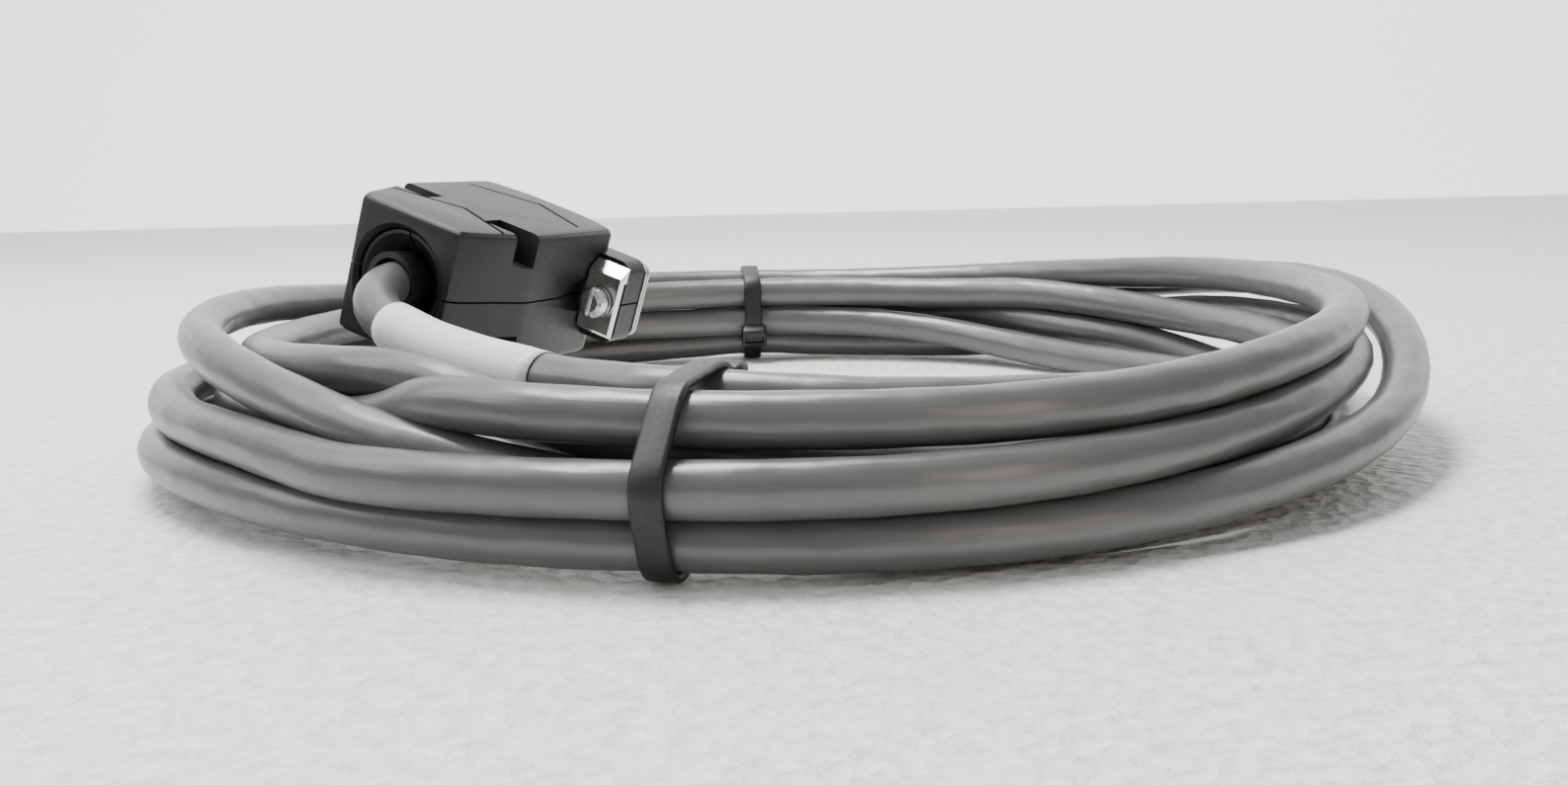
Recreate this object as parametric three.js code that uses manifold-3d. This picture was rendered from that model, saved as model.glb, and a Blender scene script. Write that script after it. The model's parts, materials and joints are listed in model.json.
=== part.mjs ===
// Shielded instrument cable, stored as a loose coil held by two cable ties, with a 15-way connector
// in a two-part plastic hood on each end. Millimetres, +Z up. The origin is on the floor, under the
// middle of the whole object. The coil lies flat round its own centre, end A stands over the coil's
// inside and end B lies flat behind the coil.
import * as THREE from 'three';
import { mergeVertices } from 'three/addons/utils/BufferGeometryUtils.js';
import Module from 'manifold-3d';

const wasm = await Module();
wasm.setup();

// ---- Driving dimensions -------------------------------------------------------------------------

const CABLE_DIAMETER = 6.4;
const GAP = 0.3; // clearance kept between neighbouring pieces

// Coil: a ring round a vertical axis, three cables high.
const COIL_CENTRE_Y = -15.3;
const COIL_INNER_RADIUS = 76;
const COIL_OUTER_RADIUS = 99;
const COIL_HEIGHT = 20.4;
const COIL_CORNER = 3;
const COIL_SIDES = 48;

// Cable ties: a strap round the bundle, which it squeezes to three cables wide.
const STRAP_WIDTH = 3.8;
const STRAP_THICKNESS = 1.2;
const TIED_BUNDLE_WIDTH = 20;
const TIED_BUNDLE_HEIGHT = 18.6;
const TIE_CORNER = 3;
const TIED_RADIUS = 87.3; // middle of the squeezed bundle, from the coil's centre
const TIE_HEAD = { wide: 5.8, deep: 4.6, tall: 5.8 };
const TIES = [
  // angle round the coil, twist about the upright, height of the head's top
  { name: 'cable_tie_front', angle: -98.2, twist: -9, headTop: 21.2 },
  { name: 'cable_tie_back', angle: 95.1, twist: 0, headTop: 7.2 },
];

// Connector, in its own frame: +X from the cable to the mating face, Y across, Z through the hood.
const HOOD_LENGTH = 37;
const HOOD_THICKNESS = 21.4;
const HOOD_EDGE = 1.1; // rounding of the top and bottom edges
const REAR_HALF_WIDTH = 9.5;
const LATCH_HALF_WIDTH = 12.2;
const BODY_HALF_WIDTH = 13.4;
const LATCH_START = 10.2;
const LATCH_END = 14.2;
const LATCH_DEPTH = 5.2;
const LATCH_INNER = 5.6;
const BODY_END = 34.6;
const GROOVE_DEPTH = 0.45;
const GROOVE_WIDTH = 0.7;
const EAR_START = 30.3;
const EAR_SHOULDER = 32.1; // where the ear's slanted back edges end
const EAR_HALF_WIDTH = 19.4;
const EAR_HALF_HEIGHT = 7;
const EAR_CORNER = 2;
const SCREW_OFFSET = 16.66; // half the standard 33.3 mm spacing of a 15-way connector
const SCREW_CLEARANCE_RADIUS = 1.75;
const EAR_BACK = { outer: 18.9, top: 3.9, bottom: -4.1 }; // the small back face of an ear
const EAR_FULL = { outer: 19.1, top: 5.6, bottom: -5.2 }; // and its size at the shoulder
const SCOOP_RADIUS = 4.4;
const SCOOP_LENGTH = 10;
const SCOOP_END = 29.8;
const CLIP_WALL = 0.5;
const CLIP_RIM = 0.4; // how far the clip's lower and outer edges turn over
const CLAMP_BORE = 7.8;
const CLAMP_MOUTH = 8.4; // the bore's widened edge
const CLAMP_START = 1.2;
const CLAMP_DISH = 3; // how deep the ring's dished face lies at its inner edge
const CLAMP_LENGTH = 7.5;
const CLAMP_INNER = 4.7;
const BUSHING_OUTER = 4.4;
const BUSHING_START = -1.2;
const BUSHING_END = 5.5;
const SCREW_HEAD_RADIUS = 2.5;
const SCREW_HEAD_LENGTH = 1.6;
const SCREW_NECK_RADIUS = 1.2;
const SCREW_THREAD_RADIUS = 1.42;
const SCREW_THREAD_START = 36; // past the hood's hollow, just behind the flange
const SCREW_END = 40.6;
const CAVITY = { start: 9, end: 32, halfWidth: 7, halfHeight: 8.6 };
const TERMINAL_ROOM_START = 31.2; // the wide room behind the contacts

// The 15-way metal shell and its contacts.
const FLANGE = { halfWidth: 19.57, halfHeight: 6.27, thickness: 0.5, corner: 1.6 };
const SHELL_DEPTH = 5.9;
const SHELL_WALL = 0.4;
const REAR_CUP_START = 33.9;
const SOLDER_CUP_LENGTH = 2.2;
const CONTACT_PITCH = 2.77;
const CONTACT_ROW_SPACING = 2.84;
const CONTACT_RADIUS = 0.5;
const SOCKET_DEPTH = 3; // of the holes that take the pins
const CONTACT_ROWS = [8, 7];

// Where each connector stands, from the coil's centre.
const END_A = { at: [-57.4, -29.8, 28.2], yaw: 64, roll: 19 };
const END_B = { at: [-44, 110, 10.8], yaw: 180, roll: 0 };

// Route of the cable's free stretches, from the coil's centre.
const TAIL_A_POINTS = [
  [-58.5, -33.2, 27.9],
  [-58.7, -35.6, 27.1],
  [-58.4, -38.2, 26.2],
  [-57.5, -40.9, 25.2],
  [-56.0, -43.5, 24.2],
  [-53.8, -46.0, 23.2],
  [-51.0, -48.7, 22.2],
  [-47.4, -52.2, 21.1],
  [-42.8, -56.4, 20.1],
  [-36.4, -61.8, 19.1],
  [-29.0, -67.7, 18.3],
  [-20.9, -73.4, 17.7],
];
const SLEEVE_SPAN = [0.4, 0.86]; // from the hood to the coil, as fractions of the free stretch
const TAIL_B_POINTS = [
  [18.0, 98.5, 6.4],
  [4.0, 102.5, 4.6],
  [-10.0, 106.0, 5.0],
  [-22.0, 108.6, 7.6],
  [-34.0, 109.9, 10.2],
];

// ---- Materials ----------------------------------------------------------------------------------

const plain = (color, roughness, metalness) =>
  new THREE.MeshStandardMaterial({ color, roughness, metalness });
const MATERIALS = {
  jacket: plain(0x7e8084, 0.45, 0),
  sleeve: plain(0xdcdfe2, 0.5, 0),
  nylon: plain(0x1b1b1c, 0.5, 0),
  hood: plain(0x2a2a2c, 0.6, 0),
  nickel: plain(0xc9c6bf, 0.25, 1),
  tin: plain(0xb9b9b6, 0.35, 1),
  gold: plain(0xd7b45a, 0.25, 1),
  insulator: plain(0x16181b, 0.55, 0),
  core: plain(0xd8d8d2, 0.6, 0),
  brass: plain(0xb79a55, 0.4, 1),
};

// ---- Solid tools --------------------------------------------------------------------------------

// Three.js geometry as a manifold solid.
function solid(geometry) {
  const bare = geometry.index ? geometry.toNonIndexed() : geometry.clone();
  bare.deleteAttribute('normal');
  bare.deleteAttribute('uv');
  const merged = mergeVertices(bare, 1e-4);
  const vertProperties = new Float32Array(merged.attributes.position.array);
  const triVerts = new Uint32Array(merged.index.array);
  return new wasm.Manifold(new wasm.Mesh({ numProp: 3, vertProperties, triVerts }));
}

// A manifold solid as three.js geometry.
function geometryOf(manifold) {
  const mesh = manifold.getMesh();
  const geometry = new THREE.BufferGeometry();
  const position = new THREE.BufferAttribute(new Float32Array(mesh.vertProperties), 3);
  geometry.setAttribute('position', position);
  geometry.setIndex(new THREE.BufferAttribute(new Uint32Array(mesh.triVerts), 1));
  const flat = geometry.toNonIndexed();
  flat.computeVertexNormals();
  return flat;
}

const without = (base, ...tools) => tools.reduce((rest, tool) => rest.subtract(tool), base);
const together = (base, ...more) => more.reduce((sum, piece) => sum.add(piece), base);

// A block between two corners.
function block(low, high) {
  const size = high.map((value, axis) => value - low[axis]);
  const middle = high.map((value, axis) => (value + low[axis]) / 2);
  return solid(new THREE.BoxGeometry(...size).translate(...middle));
}

// A round bar along X through (y, z).
function barX(radius, x0, x1, y = 0, z = 0, sides = 24) {
  const geometry = new THREE.CylinderGeometry(radius, radius, x1 - x0, sides);
  return solid(geometry.rotateZ(-Math.PI / 2).translate((x0 + x1) / 2, y, z));
}

// A turned piece on the X axis; each profile point is [x, radius], and the ends lie on the axis.
function turnedX(profile, sides = 16) {
  const points = profile.map(([x, radius]) => new THREE.Vector2(radius, x));
  return solid(new THREE.LatheGeometry(points, sides).rotateZ(-Math.PI / 2));
}

const tubeX = (outer, inner, x0, x1, sides = 24) =>
  without(barX(outer, x0, x1, 0, 0, sides), barX(inner, x0 - 1, x1 + 1, 0, 0, sides));

// A flat outline in the XY plane, extruded between two heights, with its edges rounded on request.
function slabZ(shape, z0, z1, edge = 0) {
  const geometry = new THREE.ExtrudeGeometry(shape, {
    depth: z1 - z0 - 2 * edge,
    bevelEnabled: edge > 0,
    bevelThickness: edge,
    bevelSize: edge,
    bevelOffset: -edge,
    bevelSegments: 3,
  });
  return solid(geometry.translate(0, 0, z0 + edge));
}

// An outline drawn in the YZ plane (seen from the mating side), extruded along X.
function slabX(shape, x0, x1) {
  const geometry = new THREE.ExtrudeGeometry(shape, {
    depth: x1 - x0,
    curveSegments: 3,
    bevelEnabled: false,
  });
  geometry.applyMatrix4(new THREE.Matrix4().makeBasis(
    new THREE.Vector3(0, 1, 0),
    new THREE.Vector3(0, 0, 1),
    new THREE.Vector3(1, 0, 0),
  ));
  return solid(geometry.translate(x0, 0, 0));
}

const polygon = (points) => new THREE.Shape(points.map(([x, y]) => new THREE.Vector2(x, y)));

// An outline whose corners are cut back by the third number of each point and rounded.
function softPolygon(points) {
  const count = points.length;
  const toward = ([x, y], [otherX, otherY], distance) => {
    const share = distance / Math.hypot(otherX - x, otherY - y);
    return [x + (otherX - x) * share, y + (otherY - y) * share];
  };
  return polygon(points.flatMap((corner, i) => {
    const from = toward(corner, points[(i + count - 1) % count], corner[2]);
    const to = toward(corner, points[(i + 1) % count], corner[2]);
    const middle = [0, 1].map((axis) => from[axis] / 4 + corner[axis] / 2 + to[axis] / 4);
    return [from, middle, to];
  }));
}

function roundedRectangle(halfWidth, halfHeight, corner) {
  const shape = new THREE.Shape();
  const w = halfWidth - corner;
  const h = halfHeight - corner;
  shape.absarc(w, h, corner, 0, Math.PI / 2);
  shape.absarc(-w, h, corner, Math.PI / 2, Math.PI);
  shape.absarc(-w, -h, corner, Math.PI, 1.5 * Math.PI);
  shape.absarc(w, -h, corner, 1.5 * Math.PI, 2 * Math.PI);
  return shape;
}

// The connector's D outline: wider at the top, with sides that lean in by ten degrees.
function dOutline(grow) {
  const corner = 2.2 + grow;
  const halfHeight = 3.95 + grow;
  const topHalf = 12.3 + grow;
  const lean = 2 * halfHeight * Math.tan(THREE.MathUtils.degToRad(10));
  const shape = new THREE.Shape();
  const top = halfHeight - corner;
  const low = -halfHeight + corner;
  const topX = topHalf - corner;
  const lowX = topHalf - lean - corner * 0.6;
  shape.absarc(topX, top, corner, -0.17, Math.PI / 2);
  shape.absarc(-topX, top, corner, Math.PI / 2, Math.PI + 0.17);
  shape.absarc(-lowX + corner * 0.4, low, corner, Math.PI + 0.17, 1.5 * Math.PI);
  shape.absarc(lowX - corner * 0.4, low, corner, 1.5 * Math.PI, 2 * Math.PI - 0.17);
  return shape;
}

// ---- Pieces of one connector, in the connector's frame ------------------------------------------

// Chevron groove across the hood's large faces, its tip towards the mating side.
function chevronGroove(tipX, side) {
  const endX = tipX - 4.6;
  const endY = 11;
  const outline = polygon([
    [tipX, 0],
    [endX, endY],
    [endX - GROOVE_WIDTH, endY],
    [tipX - GROOVE_WIDTH, 0],
    [endX - GROOVE_WIDTH, -endY],
    [endX, -endY],
  ]);
  const face = HOOD_THICKNESS / 2;
  const depth = [face - GROOVE_DEPTH, face + 1];
  return side > 0 ? slabZ(outline, depth[0], depth[1]) : slabZ(outline, -depth[1], -depth[0]);
}

// Slot at each corner between the rear block and the body, where the two shells' snaps are reached.
function latchSlot(sideY, sideZ) {
  const inner = sideY * LATCH_INNER;
  const outer = sideY * (BODY_HALF_WIDTH + 2);
  const face = (sideZ * HOOD_THICKNESS) / 2;
  const floor = face - sideZ * LATCH_DEPTH;
  const low = [LATCH_START, Math.min(inner, outer), Math.min(face + sideZ, floor)];
  const high = [LATCH_END, Math.max(inner, outer), Math.max(face + sideZ, floor)];
  return block(low, high);
}

// Long soft hollow beside the body that clears a screwdriver.
function screwScoop(sideY) {
  const ball = new THREE.SphereGeometry(SCOOP_RADIUS, 24, 16).rotateZ(-Math.PI / 2);
  ball.scale(SCOOP_LENGTH / SCOOP_RADIUS, 1, 1);
  const beyond = block([SCOOP_END, -30, -30], [60, 30, 30]);
  return without(solid(ball.translate(SCOOP_END, sideY * SCREW_OFFSET, 0)), beyond);
}

const screwHole = (sideY, x0, x1) =>
  barX(SCREW_CLEARANCE_RADIUS, x0, x1, sideY * SCREW_OFFSET, 0, 12);

// The slanted back of an ear, from its small back face to its full size, grown by an offset.
function earBack(sideY, grow) {
  const inner = BODY_HALF_WIDTH - 4;
  const faces = [
    { x: EAR_START - grow, ...EAR_BACK },
    { x: EAR_SHOULDER - grow, ...EAR_FULL },
  ];
  const corners = faces.flatMap(({ x, outer, top, bottom }) => [
    [x, sideY * inner, top + grow],
    [x, sideY * inner, bottom - grow],
    [x, sideY * (outer + grow), top + grow],
    [x, sideY * (outer + grow), bottom - grow],
  ]);
  return wasm.Manifold.hull(corners);
}

function hoodWhole() {
  const side = [
    [0, REAR_HALF_WIDTH, 2],
    [LATCH_START, LATCH_HALF_WIDTH, 0.8],
    [LATCH_END, BODY_HALF_WIDTH, 1.2],
    [BODY_END, BODY_HALF_WIDTH, 1.2],
    [BODY_END + 1.2, 10.5, 0.6],
    [HOOD_LENGTH, 5, 0.6],
  ];
  const mirrored = side.map(([x, y, cut]) => [x, -y, cut]);
  const outline = softPolygon([...mirrored, ...side.reverse()]);
  const half = HOOD_THICKNESS / 2;
  const body = slabZ(outline, -half, half, HOOD_EDGE);
  const scooped = without(body, screwScoop(1), screwScoop(-1));
  const earShape = roundedRectangle(EAR_HALF_WIDTH, EAR_HALF_HEIGHT, EAR_CORNER);
  const ears = together(slabX(earShape, EAR_SHOULDER, HOOD_LENGTH), earBack(1, 0), earBack(-1, 0));
  const c = CAVITY;
  const mouth = turnedX([[-1, 0], [-1, CLAMP_MOUTH + 1], [0.9, CLAMP_BORE], [2, CLAMP_BORE], [2, 0]], 28);
  return without(
    together(scooped, ears),
    block([c.start, -c.halfWidth, -c.halfHeight], [c.end, c.halfWidth, c.halfHeight]),
    mouth,
    barX(CLAMP_BORE, 1, CLAMP_LENGTH + GAP, 0, 0, 28),
    barX(BUSHING_OUTER + GAP, -1, c.start + 1, 0, 0, 20),
    slabX(dOutline(1.6), TERMINAL_ROOM_START, HOOD_LENGTH + 1),
    screwHole(1, EAR_START - 1, HOOD_LENGTH + 1),
    screwHole(-1, EAR_START - 1, HOOD_LENGTH + 1),
    latchSlot(1, 1),
    latchSlot(-1, 1),
    latchSlot(1, -1),
    latchSlot(-1, -1),
    chevronGroove(13, 1),
    chevronGroove(13, -1),
    chevronGroove(32.4, 1),
    chevronGroove(32.4, -1),
  );
}

// Upper (+1) or lower (-1) shell of the hood, parted along the middle plane.
function hoodShell(side) {
  const reach = 30;
  const low = side > 0 ? -reach : -GAP / 2;
  const high = side > 0 ? GAP / 2 : reach;
  return without(hoodWhole(), block([-5, -reach, low], [HOOD_LENGTH + 5, reach, high]));
}

// Left (+1) or right (-1) half of the strain-relief ring in the hood's rear opening.
function clampHalf(side) {
  const outer = CLAMP_BORE - GAP;
  const dished = turnedX([
    [CLAMP_DISH, 0],
    [CLAMP_DISH, CLAMP_INNER],
    [CLAMP_START, outer - 0.5],
    [CLAMP_START, outer],
    [CLAMP_LENGTH, outer],
    [CLAMP_LENGTH, 0],
  ], 28);
  const ring = without(dished, barX(CLAMP_INNER, 0, CLAMP_LENGTH + 1));
  const low = side > 0 ? -12 : -GAP / 2;
  const high = side > 0 ? GAP / 2 : 12;
  return without(ring, block([-2, low, -12], [CLAMP_LENGTH + 2, high, 12]));
}

const cableBushing = () =>
  tubeX(BUSHING_OUTER, CABLE_DIAMETER / 2 + GAP, BUSHING_START, BUSHING_END, 20);

const shieldCollar = () => tubeX(BUSHING_OUTER, CABLE_DIAMETER / 2 + GAP, 6, 8.7, 20);

// The cores, from the cut end of the jacket to just behind the contacts.
function coreBundle() {
  return turnedX([[9, 0], [9, 2.6], [14, 3.4], [20, 4.2], [23.5, 4.2], [23.5, 0]], 14);
}

// Pressed metal clip on the back of an ear, with a slanted lip along its top and its other edges just
// turned over; the screw head presses on it.
function screwClip(sideY) {
  const nearest = BODY_HALF_WIDTH + GAP;
  const pressed = without(earBack(sideY, GAP + CLIP_WALL), earBack(sideY, GAP));
  const low = sideY > 0 ? nearest : -30;
  const high = sideY > 0 ? 30 : -nearest;
  const plateRoom = block([EAR_START - 2, low, -20], [EAR_START + CLIP_RIM, high, 20]);
  const lipRoom = block([EAR_START - 2, low, EAR_BACK.top], [EAR_SHOULDER - GAP, high, 20]);
  const bent = pressed.intersect(together(plateRoom, lipRoom));
  return without(bent, screwHole(sideY, EAR_START - 3, EAR_START + 1));
}

const CLIP_BACK = EAR_START - GAP - CLIP_WALL;
const WASHER_THICKNESS = 0.5;

function lockWasher(sideY) {
  const back = CLIP_BACK - GAP;
  const plate = barX(2.6, back - WASHER_THICKNESS, back, sideY * SCREW_OFFSET, 0, 16);
  return without(plate, screwHole(sideY, back - 2, back + 1));
}

// Jackscrew: slotted pan head behind the clip, plain neck, and a short threaded end past the flange.
function jackscrew(sideY) {
  const seat = CLIP_BACK - WASHER_THICKNESS - 2 * GAP;
  const top = seat - SCREW_HEAD_LENGTH;
  const profile = [
    [top, 0],
    [top, SCREW_HEAD_RADIUS * 0.6],
    [top + 0.3, SCREW_HEAD_RADIUS * 0.86],
    [top + 0.8, SCREW_HEAD_RADIUS],
    [seat, SCREW_HEAD_RADIUS],
    [seat, SCREW_NECK_RADIUS],
    [SCREW_THREAD_START, SCREW_NECK_RADIUS],
    [SCREW_THREAD_START, SCREW_THREAD_RADIUS],
    [SCREW_END - 0.5, SCREW_THREAD_RADIUS],
    [SCREW_END, SCREW_THREAD_RADIUS * 0.65],
    [SCREW_END, 0],
  ];
  const slot = block([top - 1, -0.4, -4], [top + 0.9, 0.4, 4]);
  return without(turnedX(profile, 20), slot).translate([0, sideY * SCREW_OFFSET, 0]);
}

// Flange plate of the metal shell, with its two screw holes.
function flangePlate(x0) {
  const f = FLANGE;
  const plate = slabX(roundedRectangle(f.halfWidth, f.halfHeight, f.corner), x0, x0 + f.thickness);
  const holes = [1, -1].map((side) => screwHole(side, x0 - 1, x0 + 2));
  return without(plate, ...holes);
}

const FLANGE_REAR_X = HOOD_LENGTH + GAP;
const FLANGE_FRONT_X = FLANGE_REAR_X + FLANGE.thickness + GAP;
const MATING_X = FLANGE_FRONT_X + FLANGE.thickness + SHELL_DEPTH;

function shellRear() {
  const cup = slabX(dOutline(1.2), REAR_CUP_START, FLANGE_REAR_X + 0.2);
  const hollow = slabX(dOutline(1.2 - SHELL_WALL), REAR_CUP_START - 1, FLANGE_FRONT_X);
  return without(together(flangePlate(FLANGE_REAR_X), cup), hollow);
}

function shellFront() {
  const wall = slabX(dOutline(SHELL_WALL), FLANGE_FRONT_X + 0.2, MATING_X);
  const hollow = slabX(dOutline(0), FLANGE_FRONT_X - 1, MATING_X + 1);
  return without(together(flangePlate(FLANGE_FRONT_X), wall), hollow);
}

// Centre of each contact, [y, z], in two staggered rows.
function contactPlaces() {
  return CONTACT_ROWS.flatMap((count, row) => {
    const z = (0.5 - row) * CONTACT_ROW_SPACING;
    return Array.from({ length: count }, (_, i) => [((count - 1) / 2 - i) * CONTACT_PITCH, z]);
  });
}

const contactHoles = (radius, x0, x1) =>
  contactPlaces().map(([y, z]) => barX(radius, x0, x1, y, z, 6));

// Both insulators: the rear one fills the rear cup, the front one the mating shell. A plug's front
// insulator ends low in the shell, so that its pins stand clear, and a socket's reaches the rim.
function insulatorRear(isPlug) {
  const x0 = REAR_CUP_START;
  const blank = slabX(dOutline(1.2 - SHELL_WALL - GAP), x0, FLANGE_REAR_X + 0.4);
  return isPlug ? without(blank, ...contactHoles(CONTACT_RADIUS + 0.3, x0 - 1, x0 + 9)) : blank;
}

function insulatorFront(isPlug) {
  const x0 = FLANGE_REAR_X + 0.4 + GAP;
  const x1 = isPlug ? FLANGE_FRONT_X + 1.2 : MATING_X - 0.2;
  const blank = slabX(dOutline(-GAP), x0, x1);
  const holeStart = isPlug ? x0 - 1 : x1 - SOCKET_DEPTH;
  return without(blank, ...contactHoles(CONTACT_RADIUS + 0.3, holeStart, x1 + 1));
}

// Pin with a solder cup behind.
function contactPin([y, z]) {
  const cup = REAR_CUP_START - GAP;
  const profile = [
    [cup - SOLDER_CUP_LENGTH, 0],
    [cup - SOLDER_CUP_LENGTH, 0.95],
    [cup, 0.95],
    [cup, CONTACT_RADIUS],
    [MATING_X - 1.1, CONTACT_RADIUS],
    [MATING_X - 0.6, 0.2],
    [MATING_X - 0.6, 0],
  ];
  return turnedX(profile, 6).translate([0, y, z]);
}

// ---- Assembly -----------------------------------------------------------------------------------

const model = new THREE.Group();
const coilGroup = new THREE.Group();
coilGroup.position.y = COIL_CENTRE_Y;
model.add(coilGroup);

function place(parent, name, manifold, material) {
  const mesh = new THREE.Mesh(geometryOf(manifold), material);
  mesh.name = name;
  parent.add(mesh);
}

function connector(end, letter, isPlug) {
  const group = new THREE.Group();
  const angles = [end.roll, 0, end.yaw].map(THREE.MathUtils.degToRad);
  group.rotation.set(...angles, 'ZYX');
  group.position.set(...end.at);
  coilGroup.add(group);
  const add = (piece, manifold, material) => place(group, `${piece}_${letter}`, manifold, material);

  add('hood_upper', hoodShell(1), MATERIALS.hood);
  add('hood_lower', hoodShell(-1), MATERIALS.hood);
  add('cable_bushing', cableBushing(), MATERIALS.hood);
  add('shield_collar', shieldCollar(), MATERIALS.brass);
  add('core_bundle', coreBundle(), MATERIALS.core);
  add('shell_rear', shellRear(), MATERIALS.tin);
  add('shell_front', shellFront(), MATERIALS.tin);
  add('insulator_rear', insulatorRear(isPlug), MATERIALS.insulator);
  add('insulator_front', insulatorFront(isPlug), MATERIALS.insulator);
  for (const [sideName, side] of [['left', 1], ['right', -1]]) {
    add(`clamp_${sideName}`, clampHalf(side), MATERIALS.hood);
    add(`screw_clip_${sideName}`, screwClip(side), MATERIALS.nickel);
    add(`lock_washer_${sideName}`, lockWasher(side), MATERIALS.nickel);
    add(`jackscrew_${sideName}`, jackscrew(side), MATERIALS.nickel);
  }
  if (isPlug) {
    contactPlaces().forEach((centre, i) => {
      add(`contact_${String(i + 1).padStart(2, '0')}`, contactPin(centre), MATERIALS.gold);
    });
  }
  group.updateMatrix();
  return group.matrix;
}

// A point on a connector's axis, from the coil's centre.
const onAxis = (matrix, x) => new THREE.Vector3(x, 0, 0).applyMatrix4(matrix);

function cablePath(points) {
  return new THREE.CatmullRomCurve3(points, false, 'centripetal');
}

// Part of a curve as a curve of its own, between two fractions of its length.
function stretch(curve, from, to) {
  const count = 16;
  const at = (i) => curve.getPointAt(from + ((to - from) * i) / count);
  return cablePath(Array.from({ length: count + 1 }, (_, i) => at(i)));
}

function tube(curve, outerDiameter, innerDiameter = 0) {
  const sides = 10;
  const shape = new THREE.Shape();
  shape.absarc(0, 0, outerDiameter / 2, 0, 2 * Math.PI);
  if (innerDiameter > 0) {
    const bore = new THREE.Path();
    bore.absarc(0, 0, innerDiameter / 2, 0, 2 * Math.PI, true);
    shape.holes.push(bore);
  }
  const steps = Math.ceil(curve.getLength() / (CABLE_DIAMETER * 0.9));
  return solid(new THREE.ExtrudeGeometry(shape, {
    steps,
    curveSegments: sides,
    extrudePath: curve,
    bevelEnabled: false,
  }));
}

// Ring section of the coil, grown by a clearance.
function coilRing(grow) {
  const inner = COIL_INNER_RADIUS - grow;
  const outer = COIL_OUTER_RADIUS + grow;
  const top = COIL_HEIGHT + grow;
  const c = COIL_CORNER;
  const profile = [
    [inner + c, -grow],
    [outer - c, -grow],
    [outer, c],
    [outer, top - c],
    [outer - c, top],
    [inner + c, top],
    [inner, top - c],
    [inner, c],
    [inner + c, -grow],
  ].map(([radius, z]) => new THREE.Vector2(radius, z));
  return solid(new THREE.LatheGeometry(profile, COIL_SIDES).rotateX(Math.PI / 2));
}

// Room taken by a tie where it crosses the coil: everything outside the squeezed bundle.
function tieRoom() {
  const half = TIE_HEAD.wide / 2 + GAP;
  const bundle = roundedRectangle(
    TIED_BUNDLE_WIDTH / 2 - GAP,
    TIED_BUNDLE_HEIGHT / 2 - GAP,
    TIE_CORNER - GAP,
  );
  const middleZ = STRAP_THICKNESS + TIED_BUNDLE_HEIGHT / 2;
  const core = slabX(bundle, -half - 1, half + 1).translate([0, 0, middleZ]);
  return without(block([-half, -20, -2], [half, 20, COIL_HEIGHT + 5]), core);
}

// Cable tie round the bundle, in its own frame: X along the bundle, Y outwards, Z up.
function cableTie({ headTop }) {
  const innerHalf = TIED_BUNDLE_WIDTH / 2;
  const middleZ = STRAP_THICKNESS + TIED_BUNDLE_HEIGHT / 2;
  const loop = roundedRectangle(
    innerHalf + STRAP_THICKNESS,
    TIED_BUNDLE_HEIGHT / 2 + STRAP_THICKNESS,
    TIE_CORNER + STRAP_THICKNESS,
  );
  loop.holes.push(roundedRectangle(innerHalf, TIED_BUNDLE_HEIGHT / 2, TIE_CORNER));
  const w = STRAP_WIDTH / 2;
  const h = TIE_HEAD;
  const headBack = -innerHalf - STRAP_THICKNESS - h.deep + 0.6;
  const head = block([-h.wide / 2, headBack, headTop - h.tall], [h.wide / 2, headBack + h.deep, headTop]);
  const slot = block([-w * 0.8, headBack + 1.2, headTop - 0.9], [w * 0.8, headBack + 2.8, headTop + 1]);
  const strap = slabX(loop, -w, w).translate([0, 0, middleZ]);
  return without(together(strap, head), slot);
}

function tieMatrix({ angle, twist }) {
  const a = THREE.MathUtils.degToRad(angle);
  const turn = new THREE.Matrix4().makeRotationZ(a - Math.PI / 2 + THREE.MathUtils.degToRad(twist));
  const move = new THREE.Matrix4().makeTranslation(
    TIED_RADIUS * Math.cos(a),
    TIED_RADIUS * Math.sin(a),
    0,
  );
  return move.multiply(turn);
}

const matrixA = connector(END_A, 'a', true);
const matrixB = connector(END_B, 'b', false);

const vector = (point) => new THREE.Vector3(...point);
const tailA = cablePath([
  onAxis(matrixA, 8.7),
  onAxis(matrixA, 3),
  onAxis(matrixA, -2.5),
  ...TAIL_A_POINTS.map(vector),
]);
const tailB = cablePath([
  ...TAIL_B_POINTS.map(vector),
  onAxis(matrixB, 0),
  onAxis(matrixB, 8.7),
]);

const moved = (manifold, matrix) => manifold.transform(matrix.toArray());
const ring = without(coilRing(0), ...TIES.map((tie) => moved(tieRoom(), tieMatrix(tie))));
place(coilGroup, 'cable_coil', ring, MATERIALS.jacket);
place(coilGroup, 'cable_tail_a', without(tube(tailA, CABLE_DIAMETER), coilRing(GAP)), MATERIALS.jacket);
place(coilGroup, 'cable_tail_b', without(tube(tailB, CABLE_DIAMETER), coilRing(GAP)), MATERIALS.jacket);
const sleeve = tube(stretch(tailA, ...SLEEVE_SPAN), CABLE_DIAMETER + 1.5, CABLE_DIAMETER + 0.7);
place(coilGroup, 'marker_sleeve', without(sleeve, coilRing(GAP)), MATERIALS.sleeve);
for (const tie of TIES) {
  place(coilGroup, tie.name, moved(cableTie(tie), tieMatrix(tie)), MATERIALS.nylon);
}

export default model;
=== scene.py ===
"""Looks of the instrument cable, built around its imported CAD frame.

Units are metres unless a name or a comment says mm.
"""

import json
import math

import bmesh
import bpy
import numpy as np
from mathutils import Matrix, Vector


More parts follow.
